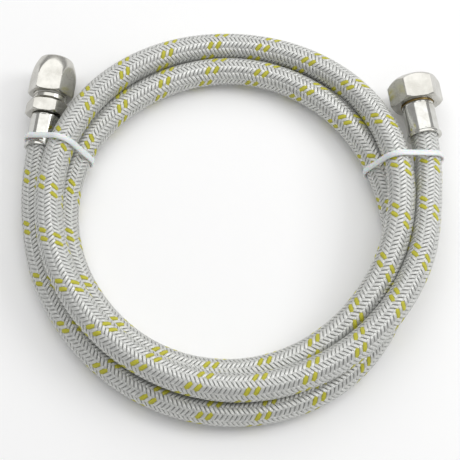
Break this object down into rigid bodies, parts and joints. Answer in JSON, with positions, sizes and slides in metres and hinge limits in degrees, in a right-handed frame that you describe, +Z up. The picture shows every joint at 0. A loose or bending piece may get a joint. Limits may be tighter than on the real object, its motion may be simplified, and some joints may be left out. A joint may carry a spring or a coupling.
{
  "type": "braided supply hose",
  "caption": "Coiled flexible water supply hose in steel braid with yellow tracer, with a swivel union nut at one end, a compression fitting at the other and nylon ties.",
  "frame": {"origin": "on the resting surface, under the centre of the bounding box of the coiled and tied hose", "axes": "+Z up, out of the flat of the coil; +Y towards the side where both fittings point; +X towards the swivel nut end"},
  "size_m": [0.2164, 0.2106, 0.0293],
  "materials": {
    "nickel_plate": "nickel plated brass, satin bright",
    "polished_steel": "polished crimped stainless sleeve",
    "brass": "machined brass",
    "rubber": "black hose rubber",
    "steel_braid": "herringbone wire braid",
    "yellow_tracer": "yellow tracer yarn in the braid",
    "hose_bundle": null,
    "nylon": "translucent natural nylon"
  },
  "bodies": {
    "hose": {"compression_body": "nickel_plate", "compression_ferrule": "polished_steel", "compression_braid": "steel_braid", "compression_liner": "rubber", "hose_coil": "hose_bundle", "swivel_braid": "steel_braid", "swivel_liner": "rubber", "swivel_ferrule": "polished_steel", "swivel_tail": "brass", "swivel_washer": "rubber", "compression_tie": "nylon", "swivel_tie": "nylon"},
    "union_nut": {"swivel_nut": "nickel_plate"},
    "olive": {"compression_olive": "brass"},
    "gland_nut": {"compression_nut": "nickel_plate"}
  },
  "joints": [
    {"name": "union_nut_spin", "type": "hinge", "parent": "hose", "child": "union_nut", "pos_m": [0.09373, 0.0666, 0.01404], "axis": [-0.1478, 0.9887, 0.0262], "continuous": true},
    {"name": "olive_travel", "type": "slide", "parent": "hose", "child": "olive", "axis": [-0.1303, -0.9901, -0.0523], "range_m": [-0.00534, 0.00267]},
    {"name": "gland_nut_turn", "type": "hinge", "parent": "olive", "child": "gland_nut", "pos_m": [-0.09461, 0.07153, 0.01283], "axis": [-0.1303, -0.9901, -0.0523], "range_deg": [-1440, 720]}
  ],
  "couplings": [
    {"joint": "gland_nut_turn", "follows": "olive_travel", "rad_per_m": 4699.5}
  ]
}
